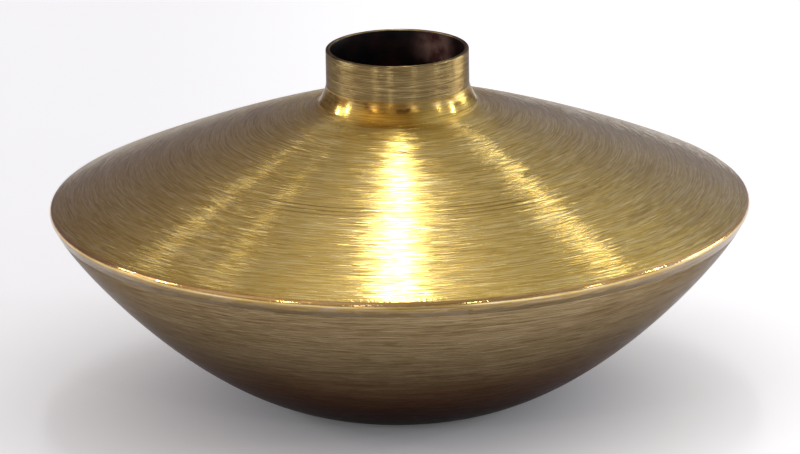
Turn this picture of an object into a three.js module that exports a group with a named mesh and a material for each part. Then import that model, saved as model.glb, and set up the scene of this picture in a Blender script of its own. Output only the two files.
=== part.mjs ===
// Saucer-shaped brass table vase: two spun shells lapped and soldered at the widest ridge,
// and a drawn neck tube brazed into the collar of the upper shell. Millimetres, +Z up, with the
// origin at the centre of the face that the vase stands on.
import * as THREE from "three";

// Overall sizes
const bodyRadius = 122.5;
const ridgeHeight = 68.5; // height of the widest circle above the table
const neckRise = 56.5; // from the widest circle up to the lip
const neckRadius = 25; // outside of the neck tube
const footRadius = 42; // outer edge of the flat foot

// Metal
const sheet = 1.2; // spun brass sheet of both shells
const neckWall = 1.6; // drawn tube of the neck
const lipRounding = 0.5; // radius that the tube's cut end is eased to
const solderGap = 0.12; // capillary gap that the filler metal runs into

// Upper shell, the shoulder
const collarDrop = 15.4; // from the lip down to the top of the collar
const collarBend = 5.4; // outside radius of the flare round the neck
const shoulderSlopeTop = 15; // degrees below level, where the flare ends
const shoulderSlopeRim = 30; // degrees below level, where the ridge begins
const shoulderEaseTop = 37; // how far the top slope carries on, as a handle of the curve
const shoulderEaseRim = 9.8; // the same at the ridge
const ridgeRadius = 2; // outside radius of the rounded ridge

// Lap joint at the ridge
const skirtSteepness = 60; // degrees from level of the turned-down skirt
const skirtLap = 3.6; // three sheet thicknesses of overlap
const seamWidth = 0.8; // groove between the skirt's edge and the lower shell
const spigotClearance = 0.3; // below the ridge's bend, at the top of the lap

// Lower shell, the bowl
const bowlEaseRim = 11; // handle of the curve below the seam
const bowlEaseFoot = 39; // handle of the curve above the foot
const footSlope = 17; // degrees above level, where the bowl leaves the foot
const recessRadius = 34; // shallow dish that holds the pad
const recessDepth = 1.4;
const recessRun = 2.4; // width of the slope from the dish to the standing ring

// Neck joint
const bellAngle = 58; // degrees that the tube's lower end is belled out under the collar
const beadHeight = 3.6; // braze bead up the tube, from the collar's edge
const beadHandle = 1.7; // how far each end of the bead's face stays upright
const featherEdge = 0.15; // thickness left where the bead thins out

// Felt pad
const padProud = 0.5; // how far the pad stands below the brass
const padClearance = 0.6; // round the pad, in its dish
const padChamfer = 0.4;

// Facets
const turnSegments = 72;
const curveSteps = 9;
const bendSteps = 6;
const lipSteps = 2;

// Angles are in degrees, anticlockwise from level in a plane of radius and height
const rightAngle = 90;
const halfTurn = 180;
const point = (radius, height) => new THREE.Vector2(radius, height);
const along = (start, way, distance) => start.clone().addScaledVector(way, distance);

function direction(angle) {
  const radians = THREE.MathUtils.degToRad(angle);
  return point(Math.cos(radians), Math.sin(radians));
}

// Points on an arc, from one angle to another
function arc(centre, radius, from, to, steps) {
  const points = [];
  for (let i = 0; i <= steps; i++) {
    points.push(along(centre, direction(from + ((to - from) * i) / steps), radius));
  }
  return points;
}

// Points on a curve that leaves one end and reaches the other along given handles
function sweep(start, startHandle, endHandle, end, steps) {
  return new THREE.CubicBezierCurve(start, startHandle, endHandle, end).getPoints(steps);
}

// Copies of the points without those that repeat the one before
function tidy(points) {
  return points.filter((p, i) => i === 0 || p.distanceTo(points[i - 1]) > 1e-6);
}

// The line moved sideways by one distance, to the left of its own direction
function offset(points, distance) {
  return points.map((p, i) => {
    const before = i > 0 ? p.clone().sub(points[i - 1]).normalize() : null;
    const after = i < points.length - 1 ? points[i + 1].clone().sub(p).normalize() : null;
    const a = before ?? after;
    const b = after ?? before;
    const normal = point(-a.y - b.y, a.x + b.x).normalize();
    const mitre = normal.dot(point(-a.y, a.x));
    return along(p, normal, distance / mitre);
  });
}

// A turned solid from a closed outline that runs anticlockwise in radius and height
function turned(outline) {
  const closed = tidy([...outline, outline[0]]);
  return new THREE.LatheGeometry(closed, turnSegments);
}

// A turned solid whose outline starts and ends on the axis
function turnedOnAxis(outline) {
  return new THREE.LatheGeometry(tidy(outline), turnSegments);
}

// The lip, the collar and the ridge, which every piece is placed from
const lipHeight = ridgeHeight + neckRise;
const collarHeight = lipHeight - collarDrop;
const collarRadius = neckRadius + solderGap + sheet;
const bendCentre = point(collarRadius + collarBend, collarHeight);
const ridgeCentre = point(bodyRadius - ridgeRadius, ridgeHeight);
const skirtWay = direction(skirtSteepness - halfTurn);
const skirtOutward = direction(skirtSteepness - rightAngle);
const skirtTop = along(ridgeCentre, skirtOutward, ridgeRadius);

// A point of the lap joint: how far down the skirt, and how deep under its outside
function lapPoint(down, deep) {
  return along(along(skirtTop, skirtWay, down), skirtOutward, -deep);
}

// Outside line of the upper shell, from the collar's edge out to the skirt's edge
function shoulderLine() {
  const flareEnd = halfTurn + rightAngle - shoulderSlopeTop;
  const flare = arc(bendCentre, collarBend, halfTurn, flareEnd, bendSteps);
  const ridgeStart = rightAngle - shoulderSlopeRim;
  const ridge = arc(ridgeCentre, ridgeRadius, ridgeStart, skirtSteepness - rightAngle, bendSteps);
  const top = flare[flare.length - 1];
  const rim = ridge[0];
  const topHandle = along(top, direction(-shoulderSlopeTop), shoulderEaseTop);
  const rimHandle = along(rim, direction(halfTurn - shoulderSlopeRim), shoulderEaseRim);
  const slope = sweep(top, topHandle, rimHandle, rim, curveSteps);
  return tidy([...flare, ...slope, ...ridge, lapPoint(skirtLap, 0)]);
}

// Outside line of the lower shell, from the axis out and up to the end of its spigot
function bowlLine() {
  const dish = padProud + recessDepth;
  const foot = point(footRadius, padProud);
  const seam = lapPoint(skirtLap + seamWidth, 0);
  const footHandle = along(foot, direction(footSlope), bowlEaseFoot);
  const seamHandle = along(seam, skirtWay, bowlEaseRim);
  return tidy([
    point(0, dish),
    point(recessRadius, dish),
    point(recessRadius + recessRun, padProud),
    ...sweep(foot, footHandle, seamHandle, seam, curveSteps),
    lapPoint(skirtLap + seamWidth, sheet + solderGap),
    lapPoint(spigotClearance, sheet + solderGap),
  ]);
}

// Outside line of the neck tube, from its belled lower end up to the lip
function neckLine() {
  const bellRadius = collarBend + sheet + solderGap;
  const bell = arc(bendCentre, bellRadius, halfTurn + bellAngle, halfTurn, bendSteps);
  return tidy([...bell, point(neckRadius, lipHeight - lipRounding)]);
}

function shoulder() {
  const outside = shoulderLine();
  const inside = offset(outside, -sheet);
  return turned([...inside, ...outside.reverse()]);
}

function bowl() {
  const outside = bowlLine();
  const inside = offset(outside, sheet).reverse();
  inside[inside.length - 1].x = 0;
  return turnedOnAxis([...outside, ...inside]);
}

function neckTube() {
  const outside = neckLine();
  const inside = offset(outside, neckWall).reverse();
  const top = lipHeight - lipRounding;
  const outerCentre = point(neckRadius - lipRounding, top);
  const innerCentre = point(neckRadius - neckWall + lipRounding, top);
  const outerEase = arc(outerCentre, lipRounding, 0, rightAngle, lipSteps);
  const innerEase = arc(innerCentre, lipRounding, rightAngle, halfTurn, lipSteps);
  return turned([...outside, ...outerEase, ...innerEase, ...inside]);
}

// Bead of braze between the collar's edge and the tube, with a face that is upright at both ends
function neckBraze() {
  const inner = neckRadius + solderGap;
  const low = collarHeight + solderGap;
  const high = low + beadHeight;
  const foot = point(collarRadius, low);
  const tip = point(inner + featherEdge, high);
  const footHandle = point(foot.x, low + beadHandle);
  const tipHandle = point(tip.x, high - beadHandle);
  return turned([point(inner, low), ...sweep(foot, footHandle, tipHandle, tip, bendSteps), point(inner, high)]);
}

// Ring of solder in the groove below the skirt, flush with both shells
function seamSolder() {
  const upper = skirtLap + solderGap;
  const lower = skirtLap + seamWidth - solderGap;
  return turned([lapPoint(lower, sheet), lapPoint(lower, 0), lapPoint(upper, 0), lapPoint(upper, sheet)]);
}

function footPad() {
  const radius = recessRadius - padClearance;
  const top = padProud + recessDepth - solderGap;
  return turnedOnAxis([
    point(0, 0),
    point(radius - padChamfer, 0),
    point(radius, padChamfer),
    point(radius, top),
    point(0, top),
  ]);
}

const brushedBrass = { color: 0xb99a4e, metalness: 1, roughness: 0.34 };
const finishes = {
  brass: brushedBrass,
  neck: { ...brushedBrass, color: 0xae9552, roughness: 0.3 },
  braze: { ...brushedBrass, color: 0xc08b4c, roughness: 0.26 },
  solder: { ...brushedBrass, color: 0xcbb98a, roughness: 0.24 },
  felt: { color: 0x1d1a18, metalness: 0, roughness: 0.95 },
};

// A named piece; LatheGeometry turns about Y, so it is stood up along Z
function piece(name, geometry, finish) {
  const mesh = new THREE.Mesh(geometry, new THREE.MeshStandardMaterial(finishes[finish]));
  mesh.name = name;
  mesh.rotation.x = Math.PI / 2;
  return mesh;
}

const vase = new THREE.Group();
vase.add(
  piece("lower_shell", bowl(), "brass"),
  piece("upper_shell", shoulder(), "brass"),
  piece("neck_tube", neckTube(), "neck"),
  piece("neck_braze_ring", neckBraze(), "braze"),
  piece("seam_solder_ring", seamSolder(), "solder"),
  piece("foot_pad", footPad(), "felt"),
);

export default vase;
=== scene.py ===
import math

import bmesh
import bpy
from mathutils import Matrix, Vector, geometry, noise


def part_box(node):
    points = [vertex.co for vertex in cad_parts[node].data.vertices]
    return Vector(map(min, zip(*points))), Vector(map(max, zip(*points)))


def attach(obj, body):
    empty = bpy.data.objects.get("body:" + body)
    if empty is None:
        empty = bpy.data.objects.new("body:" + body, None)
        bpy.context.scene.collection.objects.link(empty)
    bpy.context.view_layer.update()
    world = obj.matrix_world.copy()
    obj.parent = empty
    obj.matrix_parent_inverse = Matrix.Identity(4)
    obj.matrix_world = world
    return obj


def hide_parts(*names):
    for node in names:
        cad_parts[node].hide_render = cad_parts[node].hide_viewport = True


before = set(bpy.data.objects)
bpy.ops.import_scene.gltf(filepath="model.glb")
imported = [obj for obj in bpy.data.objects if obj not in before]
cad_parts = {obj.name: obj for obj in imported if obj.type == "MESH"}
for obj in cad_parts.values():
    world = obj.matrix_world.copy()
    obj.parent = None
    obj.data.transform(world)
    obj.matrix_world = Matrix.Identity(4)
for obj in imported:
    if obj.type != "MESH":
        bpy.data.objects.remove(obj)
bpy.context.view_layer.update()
mm = 0.001
weld = 1e-6  # metres within which two points count as one
print("frame loaded")

# Shapes and patterns are given in millimetres, and the camera, floor and lamps in metres.
# These heights come from the solids.
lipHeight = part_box("neck_tube")[1].z / mm
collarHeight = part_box("upper_shell")[1].z / mm
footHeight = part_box("lower_shell")[0].z / mm
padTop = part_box("foot_pad")[1].z / mm

# Camera
camera = {
    "elevation": 16.87,  # degrees above level
    "distance": 2.857,
    "lens": 366.8,
    "aimHeight": 0.0597,
    "roll": 0.9,  # degrees that the picture is turned
    "farthest": 100,
}


def makeCamera():
    data = bpy.data.cameras.new("camera")
    data.lens = camera["lens"]
    data.clip_end = camera["farthest"]
    eye = bpy.data.objects.new("camera", data)
    tilt = math.radians(camera["elevation"])
    back = Vector((0, -math.cos(tilt), math.sin(tilt)))
    aim = Vector((0, 0, camera["aimHeight"]))
    facing = (-back).to_track_quat("-Z", "Y").to_matrix().to_4x4()
    roll = Matrix.Rotation(math.radians(-camera["roll"]), 4, "Z")
    eye.matrix_world = Matrix.Translation(aim + back * camera["distance"]) @ facing @ roll
    bpy.context.scene.collection.objects.link(eye)
    bpy.context.scene.camera = eye


makeCamera()
print("camera placed")


# Node helpers
def newMaterial(name):
    material = bpy.data.materials.new(name)
    material.use_nodes = True
    tree = material.node_tree
    tree.nodes.clear()
    output = tree.nodes.new("ShaderNodeOutputMaterial")
    shader = tree.nodes.new("ShaderNodeBsdfPrincipled")
    tree.links.new(shader.outputs["BSDF"], output.inputs["Surface"])
    return material, tree, shader


# A number or a colour is set on the socket, and anything else is linked to it
def feed(tree, socket, value):
    if isinstance(value, (int, float)):
        socket.default_value = value
    elif isinstance(value, tuple):
        socket.default_value = (*value, 1)
    else:
        tree.links.new(value, socket)


def calc(tree, operation, *values):
    node = tree.nodes.new("ShaderNodeMath")
    node.operation = operation
    for socket, value in zip(node.inputs, values):
        feed(tree, socket, value)
    return node.outputs[0]


def scaled(tree, value, factor, shift=0.0):
    return calc(tree, "MULTIPLY_ADD", value, factor, shift)


# A value between 0 and 1 becomes one between minus the most and the most
def centred(tree, value, most):
    return scaled(tree, value, 2 * most, -most)


# The same, but most of them come out small
def strayed(tree, value, most):
    even = centred(tree, value, 1)
    return calc(tree, "MULTIPLY", scaled(tree, even, most), calc(tree, "MULTIPLY", even, even))


def stretch(tree, value, low, high, toLow=0.0, toHigh=1.0):
    node = tree.nodes.new("ShaderNodeMapRange")
    node.interpolation_type = "SMOOTHSTEP"
    for name, number in zip(("From Min", "From Max", "To Min", "To Max"), (low, high, toLow, toHigh)):
        node.inputs[name].default_value = number
    tree.links.new(value, node.inputs["Value"])
    return node.outputs[0]


# The same, between two radii, heights or distances in millimetres
def between(tree, value, limits, toLow=0.0, toHigh=1.0):
    low, high = limits
    return stretch(tree, value, low * mm, high * mm, toLow, toHigh)


def vectorCalc(tree, operation, *values, result="Vector"):
    node = tree.nodes.new("ShaderNodeVectorMath")
    node.operation = operation
    for socket, value in zip(node.inputs, values):
        if isinstance(value, Vector):
            socket.default_value = value
        else:
            tree.links.new(value, socket)
    return node.outputs[result]


def joined(tree, x, y, z):
    node = tree.nodes.new("ShaderNodeCombineXYZ")
    for socket, value in zip(node.inputs, (x, y, z)):
        feed(tree, socket, value)
    return node.outputs[0]


def parted(tree, vector):
    node = tree.nodes.new("ShaderNodeSeparateXYZ")
    tree.links.new(vector, node.inputs[0])
    return node.outputs


def objectPoint(tree):
    return tree.nodes.new("ShaderNodeTexCoord").outputs["Object"]


# 1 round a place, and 0 beyond its reach
def nearTo(tree, point, place, reach):
    away = vectorCalc(tree, "DISTANCE", point, Vector(place) * mm, result="Value")
    return between(tree, away, reach, 1.0, 0.0)


def cloud(tree, vector, detail=2.0, roughness=0.5):
    node = tree.nodes.new("ShaderNodeTexNoise")
    node.inputs["Scale"].default_value = 1.0
    node.inputs["Detail"].default_value = detail
    node.inputs["Roughness"].default_value = roughness
    tree.links.new(vector, node.inputs["Vector"])
    return node.outputs["Fac"]


def scaledPoint(tree, point, scale):
    node = tree.nodes.new("ShaderNodeMapping")
    node.inputs["Scale"].default_value = scale
    tree.links.new(point, node.inputs["Vector"])
    return node.outputs[0]


def mixColour(tree, factor, first, second, blend="MIX"):
    node = tree.nodes.new("ShaderNodeMix")
    node.data_type = "RGBA"
    node.blend_type = blend
    for number, value in ((0, factor), (6, first), (7, second)):  # the colour sockets are 6 and 7
        feed(tree, node.inputs[number], value)
    return node.outputs[2]


def tinted(tree, colour, tint):
    return mixColour(tree, 1.0, colour, tint, "MULTIPLY")


def bumpNode(tree, height, distance, under=None, strength=1.0):
    node = tree.nodes.new("ShaderNodeBump")
    node.inputs["Strength"].default_value = strength
    node.inputs["Distance"].default_value = distance
    tree.links.new(height, node.inputs["Height"])
    if under is not None:
        tree.links.new(under, node.inputs["Normal"])
    return node.outputs["Normal"]


# Brushed brass. Brush marks run round the axis. Across them a coordinate goes along the profile,
# out for the shells and up for the neck, and it wanders, so that the marks cross at small angles.
# A mark has a length round the axis and a spacing across, and its shift starts it elsewhere.
marks = {
    "sway": {"length": 24.0, "spacing": 24.0, "shift": 0.0, "detail": 1.0, "roughness": 0.5},
    "crossSway": {"length": 24.0, "spacing": 24.0, "shift": 5.0, "detail": 1.0, "roughness": 0.5},
    "dash": {"length": 6.0, "spacing": 0.45, "shift": 7.3},
    "hair": {"length": 20.0, "spacing": 0.36, "shift": 3.9},
    "groove": {"length": 14.0, "spacing": 0.55, "shift": 0.0, "detail": 2.0, "roughness": 0.6},
    "ring": {"length": 320.0, "spacing": 3.4, "shift": 3.1, "detail": 3.0, "roughness": 0.7},
    "patch": {"length": 40.0, "spacing": 9.0, "shift": 1.7, "detail": 3.0, "roughness": 0.5},
}
brush = {
    "wander": 0.8,  # how far a mark strays from its circle
    "dashTilt": 0.42,  # how far a mark's own direction strays at most, as a slope
    "dashEnds": 0.030,  # how far a mark's floor leans along the mark, and across it
    "dashSides": 0.075,
    "dashTone": 0.28,  # its share in how dark or light the metal is
    "hairTilt": 0.20,
    "hairEnds": 0.012,
    "hairSides": 0.05,
    "hairTone": 0.24,
    "grooveEnds": 0.02,
    "grooveTone": 0.28,
    "grooveDepth": 0.02,
    "ringDepth": 0.017,
    "patchTone": 0.2,
    "patchRough": 0.12,  # how much rougher one patch is than another
    "darkTone": 0.3,  # the tones at which the metal is dark, middling and light
    "middleTone": 0.5,
    "lightTone": 0.72,
}


# Where a point of the surface is: its place, its level coordinates, its radius and its height, and
# how far it is along the profile
def turnedSpot(tree, outWeight, upWeight):
    point = objectPoint(tree)
    x, y, z = parted(tree, point)
    radius = calc(tree, "SQRT", calc(tree, "ADD", calc(tree, "MULTIPLY", x, x), calc(tree, "MULTIPLY", y, y)))
    along = calc(tree, "ADD", scaled(tree, radius, outWeight), scaled(tree, z, upWeight))
    return {"point": point, "x": x, "y": y, "radius": radius, "height": z, "along": along}


def markVector(tree, spot, across, mark):
    x, y = (scaled(tree, spot[axis], 1 / (mark["length"] * mm), mark["shift"]) for axis in "xy")
    return joined(tree, x, y, scaled(tree, across, 1 / (mark["spacing"] * mm)))


def markCloud(tree, spot, across, mark):
    return cloud(tree, markVector(tree, spot, across, mark), mark["detail"], mark["roughness"])


# Marks as cells, each with three numbers of its own between 0 and 1
def markCells(tree, spot, across, mark):
    node = tree.nodes.new("ShaderNodeTexVoronoi")
    node.inputs["Scale"].default_value = 1.0
    tree.links.new(markVector(tree, spot, across, mark), node.inputs["Vector"])
    split = tree.nodes.new("ShaderNodeSeparateColor")
    tree.links.new(node.outputs["Color"], split.inputs[0])
    return split.outputs


def wandering(tree, spot, sway):
    swayed = markCloud(tree, spot, spot["along"], sway)
    return calc(tree, "ADD", spot["along"], centred(tree, swayed, brush["wander"] * mm))


# Directions round the axis and along the profile, and the surface's own
def markFrame(tree, spot):
    level = vectorCalc(tree, "NORMALIZE", joined(tree, scaled(tree, spot["y"], -1), spot["x"], 0))
    normal = tree.nodes.new("ShaderNodeNewGeometry").outputs["Normal"]
    return level, vectorCalc(tree, "CROSS_PRODUCT", normal, level), normal


def leaned(tree, vector, toward, amount):
    aside = vectorCalc(tree, "MULTIPLY", toward, joined(tree, amount, amount, amount))
    return vectorCalc(tree, "ADD", vector, aside)


brass = {
    "outWeight": 1.0,  # how fast the coordinate across the marks grows outward and upward
    "upWeight": -1.0,
    "light": (0.95, 0.75, 0.32),
    "middle": (0.84, 0.60, 0.15),
    "dark": (0.66, 0.44, 0.09),
    "edge": (0.80, 0.80, 0.86),  # how bright the metal is where it is seen almost along its surface
    "roughness": 0.20,
    "anisotropy": 1.0,
    "grain": 0.25,  # turns, which spread the highlights across the marks
    "lacquer": 0.25,
    "lacquerRoughness": 0.25,
}


def brushedColour(tree, finish, dash, hair, groove, patch):
    tone = scaled(tree, patch, brush["patchTone"])
    tone = scaled(tree, hair[1], brush["hairTone"], tone)
    tone = scaled(tree, dash[1], brush["dashTone"], tone)
    tone = scaled(tree, groove, brush["grooveTone"], tone)
    toMiddle = stretch(tree, tone, brush["darkTone"], brush["middleTone"])
    toLight = stretch(tree, tone, brush["middleTone"], brush["lightTone"])
    colour = mixColour(tree, toMiddle, finish["dark"], finish["middle"])
    return mixColour(tree, toLight, colour, finish["light"])


# The surface's direction in the marks' floors, and the marks' own direction
def brushedNormal(tree, finish, spot, dash, hair, groove):
    level, profile, normal = markFrame(tree, spot)
    dashWay = strayed(tree, dash[0], brush["dashTilt"])
    hairWay = strayed(tree, hair[0], brush["hairTilt"])
    grain = leaned(tree, level, profile, calc(tree, "ADD", dashWay, hairWay))
    dashEnds = strayed(tree, dash[2], brush["dashEnds"])
    hairEnds = strayed(tree, hair[2], brush["hairEnds"])
    grooveEnds = centred(tree, groove, brush["grooveEnds"])
    endsLean = calc(tree, "ADD", calc(tree, "ADD", dashEnds, hairEnds), grooveEnds)
    dashSides = centred(tree, dash[0], brush["dashSides"])
    hairSides = centred(tree, hair[0], brush["hairSides"])
    sidesLean = calc(tree, "ADD", dashSides, hairSides)
    if "calm" in finish:
        calm = finish["calm"](tree, spot)
        endsLean = calc(tree, "MULTIPLY", endsLean, calm)
        sidesLean = calc(tree, "MULTIPLY", sidesLean, calm)
    normal = leaned(tree, leaned(tree, normal, level, endsLean), profile, sidesLean)
    return vectorCalc(tree, "NORMALIZE", normal), grain


def brushedBrass(name, finish):
    material, tree, shader = newMaterial(name)
    spot = turnedSpot(tree, finish["outWeight"], finish["upWeight"])
    across = wandering(tree, spot, marks["sway"])
    dash = markCells(tree, spot, wandering(tree, spot, marks["crossSway"]), marks["dash"])
    hair = markCells(tree, spot, across, marks["hair"])
    groove = markCloud(tree, spot, across, marks["groove"])
    ring = markCloud(tree, spot, spot["along"], marks["ring"])
    patch = markCloud(tree, spot, across, marks["patch"])
    colour = brushedColour(tree, finish, dash, hair, groove, patch)
    if "shade" in finish:
        colour = finish["shade"](tree, colour, spot)
    tree.links.new(colour, shader.inputs["Base Color"])
    rough = scaled(tree, patch, brush["patchRough"], finish["roughness"] - brush["patchRough"] / 2)
    if "polish" in finish:
        rough = finish["polish"](tree, rough, spot)
    tree.links.new(rough, shader.inputs["Roughness"])
    normal, grain = brushedNormal(tree, finish, spot, dash, hair, groove)
    normal = bumpNode(tree, ring, brush["ringDepth"] * mm, normal)
    normal = bumpNode(tree, groove, brush["grooveDepth"] * mm, normal)
    if "cut" in finish:
        normal = finish["cut"](tree, normal, spot)
    tree.links.new(normal, shader.inputs["Normal"])
    tree.links.new(grain, shader.inputs["Tangent"])
    shader.inputs["Metallic"].default_value = 1
    shader.inputs["Specular Tint"].default_value = (*finish["edge"], 1)
    shader.inputs["Anisotropic"].default_value = finish["anisotropy"]
    shader.inputs["Anisotropic Rotation"].default_value = finish["grain"]
    shader.inputs["Coat Weight"].default_value = finish["lacquer"]
    shader.inputs["Coat Roughness"].default_value = finish["lacquerRoughness"]
    return material


# The ridge, which the brush doesn't reach
ridgeLook = {
    "radii": (120.0, 121.3),  # where the brushed shoulder gives way to it
    "heights": (68.0, 68.4),
    "smoother": 0.3,  # the share of the roughness and of the marks that it lacks
    "calmer": 0.7,
    # Where the painted lines along the ridge lie, and their tints
    "bandRadii": (119.5, 120.5),
    "bandHeight": 68.95,
    "bandReach": (0.945, 1.485),
    "lineHeights": (68.65, 68.95),  # from the painted pale highlight at its edge to the painted warm reflection along its top
    "top": (1.0, 0.88, 1.15),
    "edge": (0.95, 0.98, 1.38),
    "dark": (0.42, 0.40, 0.40),  # and for a short way at the front the pale line is painted dark: painted shade
    "darkPlace": (10.0, -122.0, 68.5),
    "darkReach": (6.6, 22.0),
    "skirt": (0.50, 0.47, 0.64),  # below the ridge the skirt is painted as dark as the bowl: painted shade
    "skirtHeights": (67.8, 68.5),
}

# The flare round the neck, which emery has left duller. Its brown ring by the bead is partly heat tint from
# the braze and partly a painted reflection of the neck, and the stain at its front is painted shade
flareLook = {
    "dullRadii": (34.0, 50.0),
    "duller": 1.4,
    "calmRadii": (30.0, 36.0),
    "calmer": 0.8,
    "brownRadii": (29.6, 30.8),
    "brown": (1.0, 0.94, 0.76),
    # painted shade at the front of the brown ring
    "stain": (0.80, 0.64, 0.36),
    "paintedShadePlace": (-4.0, -29.0, 105.0),
    "paintedShadeReach": (7.5, 15.0),
}


def onRidge(tree, spot):
    out = between(tree, spot["radius"], ridgeLook["radii"])
    return calc(tree, "MULTIPLY", out, between(tree, spot["height"], ridgeLook["heights"]))


def polishShoulder(tree, rough, spot):
    duller = between(tree, spot["radius"], flareLook["dullRadii"], flareLook["duller"], 1.0)
    smoother = scaled(tree, onRidge(tree, spot), -ridgeLook["smoother"], 1)
    return calc(tree, "MULTIPLY", calc(tree, "MULTIPLY", rough, duller), smoother)


# How much of the marks' lean is left at the ridge and round the neck
def calmEnds(tree, spot):
    near = between(tree, spot["radius"], flareLook["calmRadii"], flareLook["calmer"], 0.0)
    return calc(tree, "SUBTRACT", 1, scaled(tree, onRidge(tree, spot), ridgeLook["calmer"], near))


def flareHeatTintAndPaintedShade(tree, colour, spot):
    inside = between(tree, spot["radius"], flareLook["brownRadii"], 1.0, 0.0)
    colour = mixColour(tree, inside, colour, tinted(tree, colour, flareLook["brown"]))
    near = nearTo(tree, spot["point"], flareLook["paintedShadePlace"], flareLook["paintedShadeReach"])
    # Painted shade at the front of the flare's brown ring
    stained = tinted(tree, colour, flareLook["stain"])
    return mixColour(tree, calc(tree, "MULTIPLY", near, inside), colour, stained)


# Painted highlight and reflection lines along the ridge, and painted shade on the skirt below it
def paintedRidgeLight(tree, colour, spot):
    radius, height = spot["radius"], spot["height"]
    dark = nearTo(tree, spot["point"], ridgeLook["darkPlace"], ridgeLook["darkReach"])
    edge = mixColour(tree, dark, ridgeLook["edge"], ridgeLook["dark"])
    line = mixColour(tree, between(tree, height, ridgeLook["lineHeights"]), edge, ridgeLook["top"])
    off = calc(tree, "ABSOLUTE", scaled(tree, height, 1, -ridgeLook["bandHeight"] * mm))
    band = between(tree, off, ridgeLook["bandReach"], 1.0, 0.0)
    band = calc(tree, "MULTIPLY", band, between(tree, radius, ridgeLook["bandRadii"]))
    colour = mixColour(tree, band, colour, tinted(tree, colour, line))
    # Painted shade on the skirt below the ridge
    shadedSkirt = tinted(tree, colour, ridgeLook["skirt"])
    return mixColour(tree, between(tree, height, ridgeLook["skirtHeights"]), shadedSkirt, colour)


# A few turned rings that the brush has left at the front, their bottoms painted darker: painted shade
ringLook = {
    "radius": 78.5,
    "reach": (2.7, 4.5),
    "pitch": 2.0,
    "ridge": 0.5,  # the part of a wave that stands below it is left flat
    "depth": 0.02,
    # painted shade in the rings' bottoms
    "tone": (0.62, 0.56, 0.46),
    "inFront": (50.0, 70.0),  # how far in front of the axis they begin, and show in full
}

# A file's slanting marks on the ridge
fileLook = {
    "radii": (120.0, 121.0),
    "slant": 0.8,  # how far a mark runs round for each mm of height
    "spacing": 1.2,
    "length": 4.0,
    "depth": 0.06,
}


# 1 in the bottom of a turned ring
def turnedRing(tree, spot):
    radius = spot["radius"]
    off = calc(tree, "ABSOLUTE", scaled(tree, radius, 1, -ringLook["radius"] * mm))
    reach = between(tree, off, ringLook["reach"], 1.0, 0.0)
    wave = calc(tree, "SINE", scaled(tree, radius, math.tau / (ringLook["pitch"] * mm)))
    cut = calc(tree, "MULTIPLY", stretch(tree, wave, ringLook["ridge"], 1.0), reach)
    return calc(tree, "MULTIPLY", cut, between(tree, scaled(tree, spot["y"], -1), ringLook["inFront"]))


def cutShoulder(tree, normal, spot):
    normal = bumpNode(tree, turnedRing(tree, spot), -ringLook["depth"] * mm, normal)
    turn = tree.nodes.new("ShaderNodeVectorRotate")
    turn.rotation_type = "Z_AXIS"
    slant = fileLook["slant"] / (fileLook["radii"][0] * mm)
    tree.links.new(spot["point"], turn.inputs["Vector"])
    tree.links.new(scaled(tree, spot["height"], slant), turn.inputs["Angle"])
    short, long = 1 / (fileLook["spacing"] * mm), 1 / (fileLook["length"] * mm)
    hatch = cloud(tree, scaledPoint(tree, turn.outputs["Vector"], (short, short, long)), 1.0)
    filed = calc(tree, "MULTIPLY", hatch, between(tree, spot["radius"], fileLook["radii"]))
    return bumpNode(tree, filed, fileLook["depth"] * mm, normal)


def shadedShoulder(tree, colour, spot):
    colour = flareHeatTintAndPaintedShade(tree, colour, spot)
    # Painted shade in the bottoms of the rings
    colour = mixColour(tree, turnedRing(tree, spot), colour, tinted(tree, colour, ringLook["tone"]))
    return paintedRidgeLight(tree, colour, spot)


shoulderBrass = brushedBrass("brushed shoulder", {
    **brass,
    "shade": shadedShoulder,
    "polish": polishShoulder,
    "calm": calmEnds,
    "cut": cutShoulder,
})

# Toward its foot the bowl is painted browner and then almost black: painted shade
bowlLook = {
    "brown": (0.92, 0.50, 0.32),
    "brownHeights": (10.0, 42.0),
    "dark": (0.01, 0.003, 0.002),
    "darkHeights": (-2.0, 64.0),
}


def bowlPaintedShade(tree, colour, spot):
    brown = tinted(tree, colour, bowlLook["brown"])
    colour = mixColour(tree, between(tree, spot["height"], bowlLook["brownHeights"]), brown, colour)
    return mixColour(tree, between(tree, spot["height"], bowlLook["darkHeights"]), bowlLook["dark"], colour)


# The bowl is the shoulder's brass painted darker, and darker at its edges too: painted shade
bowlBrass = brushedBrass("brushed bowl", {
    **brass,
    "upWeight": 1.0,
    "light": (0.45, 0.345, 0.20),
    "middle": (0.328, 0.234, 0.118),
    "dark": (0.218, 0.146, 0.066),
    "edge": (0.44, 0.42, 0.43),
    "roughness": 0.24,
    "lacquer": 0.08,
    "shade": bowlPaintedShade,
})

# The neck is the shoulder's brass painted darker, and darker at its edges too: painted shade
neckBrass = brushedBrass("brushed neck", {
    **brass,
    "outWeight": 0.4,  # the marks on the neck are finer
    "upWeight": 2.0,
    "light": (0.55, 0.435, 0.20),
    "middle": (0.345, 0.242, 0.09),
    "dark": (0.20, 0.135, 0.052),
    "edge": (0.30, 0.27, 0.31),
    "roughness": 0.30,
})

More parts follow.
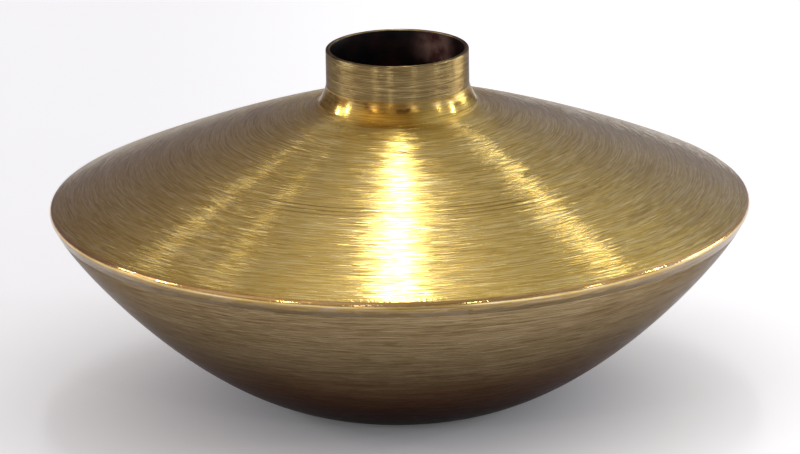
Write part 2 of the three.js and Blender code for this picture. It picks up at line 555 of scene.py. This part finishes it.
# The bead, from its feathered top against the tube out to its foot on the flare
beadLook = {
    "roughRadii": (25.2, 26.6),
    "topRoughness": 1.6,  # times that of the brushed brass
    "footRoughness": 0.75,
    "topRadii": (25.3, 26.6),  # up the neck the bead takes the tube's tone, painted darker like the tube: painted shade
    "top": (0.62, 0.62, 0.82),
    # dark patches painted on the bead: painted shade in place of the dark things that it reflects
    "paintedDark": (0.42, 0.31, 0.19),
    "paintedDarkPatch": {"length": 7.0, "spacing": 4.9, "shift": 2.3, "detail": 2.0, "roughness": 0.5},
    "paintedDarkFrom": 0.48,
    "paintedDarkTo": 0.60,
    "paintedDarkShare": 0.85,
    "paintedDarkInside": (25.0, 25.2),
    "paintedDarkOutside": (25.9, 26.8),
}


def polishBead(tree, rough, spot):
    top, foot = beadLook["topRoughness"], beadLook["footRoughness"]
    return calc(tree, "MULTIPLY", rough, between(tree, spot["radius"], beadLook["roughRadii"], top, foot))


# The bead's top painted to the neck's darker tone, and dark patches painted on it: painted shade
def beadPaintedShade(tree, colour, spot):
    radius = spot["radius"]
    colour = flareHeatTintAndPaintedShade(tree, colour, spot)
    top = tinted(tree, colour, beadLook["top"])
    colour = mixColour(tree, between(tree, radius, beadLook["topRadii"]), top, colour)
    patch = markCloud(tree, spot, spot["height"], beadLook["paintedDarkPatch"])
    patch = stretch(tree, patch, beadLook["paintedDarkFrom"], beadLook["paintedDarkTo"])
    patch = calc(tree, "MULTIPLY", patch, between(tree, radius, beadLook["paintedDarkInside"]))
    outside = between(tree, radius, beadLook["paintedDarkOutside"], beadLook["paintedDarkShare"], 0.0)
    paintedDark = tinted(tree, colour, beadLook["paintedDark"])
    return mixColour(tree, calc(tree, "MULTIPLY", patch, outside), colour, paintedDark)


brazeBrass = brushedBrass("filed bead", {
    **brass,
    "anisotropy": 0.6,
    "edge": (0.50, 0.46, 0.46),
    "shade": beadPaintedShade,
    "polish": polishBead,
    "calm": calmEnds,
})

# The dark inside, with a painted reflection in the mouth: a reddish place with a paler patch
insideLook = {
    "scale": (110, 110, 110),
    "detail": 4.0,
    "grain": 0.6,
    "stainFrom": 0.45,
    "stainTo": 0.7,
    "dark": (0.003, 0.002, 0.002),
    "stained": (0.02, 0.006, 0.005),
    "paintedReflectionPlace": (13.5, 19.0, 119.5),
    "paintedReflectionReach": (2.2, 11.0),
    "paintedReflectionFrom": 0.35,
    "paintedReflectionTo": 0.65,
    "paintedReflectionDark": (0.05, 0.007, 0.007),
    "paintedReflectionLight": (0.24, 0.14, 0.11),
    "roughness": 0.35,
    "shine": 0.25,
}


def tarnish(look):
    material, tree, shader = newMaterial("tarnished inside")
    point = objectPoint(tree)
    stain = cloud(tree, scaledPoint(tree, point, look["scale"]), look["detail"], look["grain"])
    stained = stretch(tree, stain, look["stainFrom"], look["stainTo"])
    colour = mixColour(tree, stained, look["dark"], look["stained"])
    # Painted reflection in the mouth: a reddish place with a paler patch
    reflectionShare = stretch(tree, stain, look["paintedReflectionFrom"], look["paintedReflectionTo"])
    paintedReflection = mixColour(tree, reflectionShare, look["paintedReflectionDark"], look["paintedReflectionLight"])
    colour = mixColour(tree, nearTo(tree, point, look["paintedReflectionPlace"], look["paintedReflectionReach"]), colour, paintedReflection)
    tree.links.new(colour, shader.inputs["Base Color"])
    shader.inputs["Roughness"].default_value = look["roughness"]
    shader.inputs["Specular IOR Level"].default_value = look["shine"]
    return material


feltLook = {
    "scale": (1800, 1800, 1800),
    "detail": 4.0,
    "grain": 0.7,
    "darkAt": 0.3,
    "lightAt": 0.7,
    "dark": (0.03, 0.027, 0.025),
    "light": (0.1, 0.09, 0.085),
    "roughness": 0.95,
    "sheen": 0.4,
    "fibreDepth": 0.3,
    "fibreStrength": 0.6,
}


def pressedFelt(look):
    material, tree, shader = newMaterial("pressed felt")
    fibres = cloud(tree, scaledPoint(tree, objectPoint(tree), look["scale"]), look["detail"], look["grain"])
    lighter = stretch(tree, fibres, look["darkAt"], look["lightAt"])
    colour = mixColour(tree, lighter, look["dark"], look["light"])
    tree.links.new(colour, shader.inputs["Base Color"])
    shader.inputs["Roughness"].default_value = look["roughness"]
    shader.inputs["Sheen Weight"].default_value = look["sheen"]
    normal = bumpNode(tree, fibres, look["fibreDepth"] * mm, strength=look["fibreStrength"])
    tree.links.new(normal, shader.inputs["Normal"])
    return material


insideBrass = tarnish(insideLook)
felt = pressedFelt(feltLook)
print("finishes made")


# Turned shapes
def flat(radius, height):
    return Vector((radius, height))


def way(angle):
    return Vector((math.cos(math.radians(angle)), math.sin(math.radians(angle))))


def arcLine(centre, radius, start, end, steps):
    return [centre + way(start + (end - start) * i / steps) * radius for i in range(steps + 1)]


def curveLine(start, startHandle, endHandle, end, steps):
    return geometry.interpolate_bezier(start, startHandle, endHandle, end, steps + 1)


def addObject(name, shape):
    mesh = bpy.data.meshes.new(name)
    shape.to_mesh(mesh)
    shape.free()
    made = bpy.data.objects.new(name, mesh)
    bpy.context.scene.collection.objects.link(made)
    return made


# A surface of revolution from a line of points in radius and height
def spinLine(name, line, steps, closed=False):
    shape = bmesh.new()
    verts = [shape.verts.new((point.x * mm, 0, point.y * mm)) for point in line]
    edges = [shape.edges.new(pair) for pair in zip(verts, verts[1:])]
    if closed:
        edges.append(shape.edges.new((verts[-1], verts[0])))
    bmesh.ops.spin(
        shape, geom=verts + edges, cent=(0, 0, 0), axis=(0, 0, 1),
        angle=math.tau, steps=steps, use_merge=True,
    )
    bmesh.ops.remove_doubles(shape, verts=shape.verts, dist=weld)
    bmesh.ops.recalc_face_normals(shape, faces=shape.faces)
    return addObject(name, shape)


# The faces of an open skin may all point inwards
def faceOut(piece, outward):
    if sum(outward(face) for face in piece.data.polygons) < 0:
        piece.data.flip_normals()


finishing = {
    "sharpFrom": 38,  # degrees between faces from which an edge is shaded sharp
    "easeFrom": 50,  # degrees from which an edge is eased
    "easeSegments": 3,
}


def finishPiece(piece, node, materials):
    mesh = piece.data
    for material in materials:
        mesh.materials.append(material)
    mesh.polygons.foreach_set("use_smooth", [True] * len(mesh.polygons))
    mesh.set_sharp_from_angle(angle=math.radians(finishing["sharpFrom"]))
    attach(piece, "vase")
    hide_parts(node)
    print(piece.name, "made")


# The wall is put on inside, in the piece's second material
def addWall(piece, thickness):
    wall = piece.modifiers.new("wall", "SOLIDIFY")
    wall.thickness = thickness * mm
    wall.offset = -1
    wall.use_even_offset = True
    wall.material_offset = 1


def easeEdges(piece, width):
    edge = piece.modifiers.new("eased edges", "BEVEL")
    edge.width = width * mm
    edge.segments = finishing["easeSegments"]
    edge.limit_method = "ANGLE"
    edge.angle_limit = math.radians(finishing["easeFrom"])


body = {
    "radius": 122.5,
    "ridgeHeight": 68.5,
    "sheet": 1.2,
    "gap": 0.12,
    "steps": 240,
}

shoulder = {
    "bend": 5.4,
    "hidden": 19,  # degrees of the flare's top that are sunk in the bead
    "topSlope": 15,
    "rimSlope": 30,
    "topEase": 37,
    "rimEase": 9.8,
    "ridge": 2.0,
    "skirtSteepness": 60,
    "skirtLap": 3.6,
    "flareSteps": 14,
    "slopeSteps": 36,
    "ridgeSteps": 12,
}

neck = {
    "radius": 25,
    "wall": 1.6,
    "bell": 58,
    "lipRounding": 0.5,
    "bellSteps": 12,
    "steps": 192,
}

collarRadius = neck["radius"] + body["gap"] + body["sheet"]
bendCentre = flat(collarRadius + shoulder["bend"], collarHeight)
ridgeCentre = flat(body["radius"] - shoulder["ridge"], body["ridgeHeight"])
skirtWay = way(shoulder["skirtSteepness"] - 180)
skirtOut = way(shoulder["skirtSteepness"] - 90)


# A point of the lap joint: down the skirt from the ridge, and deep under its outside
def lapPoint(down, deep=0.0):
    return ridgeCentre + skirtOut * (shoulder["ridge"] - deep) + skirtWay * down


def shoulderLine():
    flareEnds = 180 + shoulder["hidden"], 270 - shoulder["topSlope"]
    ridgeEnds = 90 - shoulder["rimSlope"], shoulder["skirtSteepness"] - 90
    flare = arcLine(bendCentre, shoulder["bend"], *flareEnds, shoulder["flareSteps"])
    ridge = arcLine(ridgeCentre, shoulder["ridge"], *ridgeEnds, shoulder["ridgeSteps"])
    top, rim = flare[-1], ridge[0]
    slope = curveLine(
        top,
        top + way(-shoulder["topSlope"]) * shoulder["topEase"],
        rim + way(180 - shoulder["rimSlope"]) * shoulder["rimEase"],
        rim,
        shoulder["slopeSteps"],
    )
    return flare + slope[1:-1] + ridge + [lapPoint(shoulder["skirtLap"])]


def makeShoulder():
    piece = spinLine("shoulder", shoulderLine(), body["steps"])
    faceOut(piece, lambda face: face.normal.z * face.area)
    addWall(piece, body["sheet"])
    finishPiece(piece, "upper_shell", [shoulderBrass, insideBrass])


bowl = {
    "seam": 0.8,
    "rimEase": 11,
    "footEase": 39,
    "footSlope": 17,
    "footRadius": 42,
    "dishRadius": 34,
    "dishRun": 2.4,
    "dishDepth": 1.4,
    "spigotTop": 0.3,
    "sideSteps": 48,
}


def bowlLine():
    seam = shoulder["skirtLap"] + bowl["seam"]
    foot = flat(bowl["footRadius"], footHeight)
    top = lapPoint(seam)
    side = curveLine(
        foot,
        foot + way(bowl["footSlope"]) * bowl["footEase"],
        top + skirtWay * bowl["rimEase"],
        top,
        bowl["sideSteps"],
    )
    dish = footHeight + bowl["dishDepth"]
    base = [
        flat(0, dish),
        flat(bowl["dishRadius"], dish),
        flat(bowl["dishRadius"] + bowl["dishRun"], footHeight),
    ]
    under = body["sheet"] + body["gap"]
    spigot = [lapPoint(seam, under), lapPoint(bowl["spigotTop"], under)]
    return base + side + spigot


def makeBowl():
    piece = spinLine("bowl", bowlLine(), body["steps"])
    faceOut(piece, lambda face: -face.normal.z * face.area)
    addWall(piece, body["sheet"])
    finishPiece(piece, "lower_shell", [bowlBrass, insideBrass])


def neckLine():
    bellRadius = shoulder["bend"] + body["sheet"] + body["gap"]
    bell = arcLine(bendCentre, bellRadius, 180 + neck["bell"], 180, neck["bellSteps"])
    return bell + [flat(neck["radius"], lipHeight)]


def makeNeck():
    piece = spinLine("neck", neckLine(), neck["steps"])
    faceOut(piece, lambda face: face.normal.xy.dot(face.center.xy))
    addWall(piece, neck["wall"])
    easeEdges(piece, neck["lipRounding"])
    finishPiece(piece, "neck_tube", [neckBrass, insideBrass])


braze = {
    "clearance": 0.02,
    "drop": 2.4,  # from the collar's edge down to its hidden underside, and up to its top
    "rise": 2.6,
    "topEase": 1.3,
    "lap": 40,  # degrees of the flare that it laps
    "footEase": 1.0,
    "footSlope": 58.5,
    "feather": 0.02,
    "lump": 0.08,
    "lumpSize": 5.0,
    "lumpDepth": 2.0,  # where it is thinner than this, or lower than the rise, the lumps fade
    "lumpDrop": 2.6,
    "lumpRise": 3.0,
    "faceSteps": 20,
    "steps": 240,
}


def makeBraze():
    inner = neck["radius"] + braze["clearance"]
    low = collarHeight - braze["drop"]
    high = collarHeight + braze["rise"]
    tip = inner + braze["feather"]
    foot = bendCentre + way(180 + braze["lap"]) * (shoulder["bend"] - braze["feather"])
    face = curveLine(
        foot,
        foot + way(180 - braze["footSlope"]) * braze["footEase"],
        flat(tip, high - braze["topEase"]),
        flat(tip, high),
        braze["faceSteps"],
    )
    outline = [flat(inner, low)] + face + [flat(inner, high)]
    piece = spinLine("braze", outline, braze["steps"], True)
    for vert in piece.data.vertices:
        out = Vector((vert.co.x, vert.co.y, 0))
        depth = out.length / mm - inner
        if depth > braze["feather"]:
            lump = noise.noise(vert.co / (braze["lumpSize"] * mm)) * braze["lump"]
            above = max(0, vert.co.z / mm - collarHeight + braze["lumpDrop"])
            share = min(1, depth / braze["lumpDepth"], above / braze["lumpRise"])
            vert.co += out.normalized() * lump * mm * share
    finishPiece(piece, "neck_braze_ring", [brazeBrass])


solder = {
    "clearance": 0.02,
}


def makeSolder():
    start = shoulder["skirtLap"] + solder["clearance"]
    end = shoulder["skirtLap"] + bowl["seam"] - solder["clearance"]
    deep = body["sheet"]
    outline = [lapPoint(end, deep), lapPoint(end), lapPoint(start), lapPoint(start, deep)]
    piece = spinLine("solder", outline, body["steps"], True)
    finishPiece(piece, "seam_solder_ring", [bowlBrass])


pad = {
    "radius": 33.4,
    "chamfer": 0.5,
    "chamferSegments": 4,
    "steps": 128,
}


def makePad():
    shape = bmesh.new()
    bmesh.ops.create_circle(shape, cap_ends=True, radius=pad["radius"] * mm, segments=pad["steps"])
    disc = bmesh.ops.extrude_face_region(shape, geom=shape.faces[:])
    top = [item for item in disc["geom"] if isinstance(item, bmesh.types.BMVert)]
    bmesh.ops.translate(shape, verts=top, vec=(0, 0, padTop * mm))
    rim = [edge for edge in shape.edges if all(abs(vert.co.z) < weld for vert in edge.verts)]
    bmesh.ops.bevel(
        shape, geom=rim, offset=pad["chamfer"] * mm, segments=pad["chamferSegments"],
        profile=0.5, affect="EDGES", material=-1,
    )
    bmesh.ops.recalc_face_normals(shape, faces=shape.faces)
    finishPiece(addObject("pad", shape), "foot_pad", [felt])


makeShoulder()
makeBowl()
makeNeck()
makeBraze()
makeSolder()
makePad()

# Floor and light
floor = {
    "size": 24.0,
    "colour": (0.82, 0.83, 0.85),
    "farColour": (0.42, 0.42, 0.43),
    "dimFrom": 0.7,  # how far from the vase it begins to turn to the darker far colour, which is painted shade, and has turned
    "dimTo": 1.3,
    "paleness": 0.47,  # painted light that the camera and the metal see added to it; it fades out toward the vase, so the floor round the vase is darker: a painted shadow
    "paleFrom": 0.0,
    "paleTo": 0.19,
    "leftShare": 0.85,  # this painted light is a little stronger on the right side of the floor
    "rightShare": 1.35,
    "leftSide": -0.12,
    "rightSide": 0.12,
    "roughness": 0.8,
    "shine": 0.2,
}


# Painted light on the floor, seen only by camera, glossy and transmission rays
def paleGlow(tree, point, away, dim):
    rays = tree.nodes.new("ShaderNodeLightPath")
    seen = calc(tree, "MAXIMUM", rays.outputs["Is Camera Ray"], rays.outputs["Is Glossy Ray"])
    seen = calc(tree, "MAXIMUM", seen, rays.outputs["Is Transmission Ray"])
    pale = stretch(tree, away, floor["paleFrom"], floor["paleTo"], 0.0, floor["paleness"])
    pale = calc(tree, "MULTIPLY", pale, calc(tree, "SUBTRACT", 1, dim))
    x = parted(tree, point)[0]
    share = stretch(tree, x, floor["leftSide"], floor["rightSide"], floor["leftShare"], floor["rightShare"])
    return calc(tree, "MULTIPLY", seen, calc(tree, "MULTIPLY", pale, share))


def makeFloor():
    shape = bmesh.new()
    bmesh.ops.create_grid(shape, x_segments=1, y_segments=1, size=floor["size"] / 2)
    plane = addObject("floor", shape)
    material, tree, shader = newMaterial("pale floor")
    point = objectPoint(tree)
    away = vectorCalc(tree, "LENGTH", point, result="Value")
    dim = stretch(tree, away, floor["dimFrom"], floor["dimTo"])
    tree.links.new(mixColour(tree, dim, floor["colour"], floor["farColour"]), shader.inputs["Base Color"])
    tree.links.new(paleGlow(tree, point, away, dim), shader.inputs["Emission Strength"])
    shader.inputs["Emission Color"].default_value = (1, 1, 1, 1)
    shader.inputs["Roughness"].default_value = floor["roughness"]
    shader.inputs["Specular IOR Level"].default_value = floor["shine"]
    plane.data.materials.append(material)


# Azimuth 0 is the camera's side, and 90 is to the right of the picture
def toward(azimuth, elevation):
    around = math.radians(azimuth)
    above = math.radians(elevation)
    level = Vector((math.sin(around), -math.cos(around), 0))
    return level * math.cos(above) + Vector((0, 0, math.sin(above)))


# Azimuth, elevation, width, height and brightness. Width and height are the degrees that a lamp
# covers as the vase sees it, and brightness is what white metal would show.
lampDistance = 3.0
lamps = {
    "centre streak": (180, 68.5, 3.1, 24, 12.5),
    "centre glow": (180.5, 66, 8, 28, 1.2),
    "centre foot": (179, 44, 4, 14, 5.0),
    "right streak 1": (140.5, 51.3, 1.9, 2, 7.0),
    "right streak 2": (147, 49.8, 2, 2, 9.5),
    "right streak 3": (153, 47.8, 2, 2, 8.0),
    "right streak 4": (159, 45.2, 1.8, 2, 8.0),
    "right streak 5": (164, 42.2, 1.8, 2, 6.0),
    "left dashes 1": (205, 51.3, 1.4, 1.8, 4.0),
    "left dashes 2": (211, 54, 1.4, 1.8, 5.0),
    "left dashes 3": (217, 55.5, 1.4, 1.8, 5.0),
    "left dashes 4": (203, 40.5, 1.4, 1.8, 4.0),
    "left dashes 5": (208, 42.2, 1.4, 1.8, 5.0),
    "left dashes 6": (213.5, 43.2, 1.4, 1.8, 5.0),
    "left dashes 7": (209, 47.5, 1.4, 1.8, 3.0),
    "left window": (256, 22, 3.4, 4, 32.0),
    "left window 2": (275, 22, 3.4, 4, 32.0),
    "left band": (268, 23, 26, 4, 4.5),
    "front left": (322, 22, 2.2, 3.4, 66.0),
    "front bar": (347, 15, 2, 18, 9.0),
    "front right": (25, 22, 2.2, 3.5, 50.0),
    "side right": (66, 21, 3.2, 4, 32.0),
    "right window": (92, 21, 3.5, 5, 38.0),
    "left wall": (267, 1, 20, 16, 1.4),
    "right wall": (113, 2, 26, 18, 5.6),
}


def makeLamps():
    for name, (azimuth, elevation, width, height, brightness) in lamps.items():
        data = bpy.data.lights.new(name, "AREA")
        data.shape = "ELLIPSE"
        data.size = 2 * lampDistance * math.tan(math.radians(width / 2))
        data.size_y = 2 * lampDistance * math.tan(math.radians(height / 2))
        area = math.pi / 4 * data.size * data.size_y
        data.energy = brightness * math.pi * area
        toLamp = toward(azimuth, elevation)
        holder = bpy.data.objects.new(name, data)
        holder.location = Vector((0, 0, body["ridgeHeight"] * mm)) + toLamp * lampDistance
        holder.rotation_euler = (-toLamp).to_track_quat("-Z", "Y").to_euler()
        holder.visible_camera = False
        bpy.context.scene.collection.objects.link(holder)


# A dim room, a little warmer on the left, with soft brighter patches
room = {
    "leftWall": (0.148, 0.118, 0.154),
    "rightWall": (0.250, 0.248, 0.300),
    "leftCeiling": (0.262, 0.222, 0.230),
    "rightCeiling": (0.250, 0.245, 0.250),
    "wallTop": 0.40,  # the sines of the elevations between which walls give way to ceiling
    "ceilingEdge": 0.82,
}

# Azimuth, elevation, spread in degrees, brightness and colour
patches = {
    "above": (181, 70, 10, 0.75, (1.0, 0.98, 0.95)),
    "right": (90, 30, 25, 0.25, (1.0, 1.0, 1.0)),
    "right back": (130, 43, 12, 0.36, (1.0, 1.0, 1.0)),
    "left": (285, 12, 20, 0.30, (1.0, 0.90, 0.88)),
    "back": (195, 40, 12, 0.05, (1.0, 0.96, 0.90)),
    "front left": (318, 38, 22, 0.34, (1.0, 0.95, 0.88)),
    "low back": (155, 4, 18, 0.16, (0.9, 0.95, 1.2)),
}


def makeWorld():
    world = bpy.data.worlds.new("studio")
    bpy.context.scene.world = world
    world.use_nodes = True
    tree = world.node_tree
    view = tree.nodes.new("ShaderNodeTexCoord").outputs["Generated"]
    parts = parted(tree, view)
    side = stretch(tree, parts[0], -1, 1)
    above = stretch(tree, parts[2], room["wallTop"], room["ceilingEdge"])
    wall = mixColour(tree, side, room["leftWall"], room["rightWall"])
    ceiling = mixColour(tree, side, room["leftCeiling"], room["rightCeiling"])
    colour = mixColour(tree, above, wall, ceiling)
    for azimuth, elevation, spread, brightness, tint in patches.values():
        facing = vectorCalc(tree, "DOT_PRODUCT", view, toward(azimuth, elevation), result="Value")
        glow = calc(tree, "POWER", calc(tree, "MAXIMUM", facing, 0), 1 / math.radians(spread) ** 2)
        colour = mixColour(tree, scaled(tree, glow, brightness), colour, tint, "ADD")
    tree.links.new(colour, tree.nodes["Background"].inputs["Color"])


makeFloor()
makeLamps()
makeWorld()
bpy.context.scene.view_settings.view_transform = "Standard"
print("floor and light made")
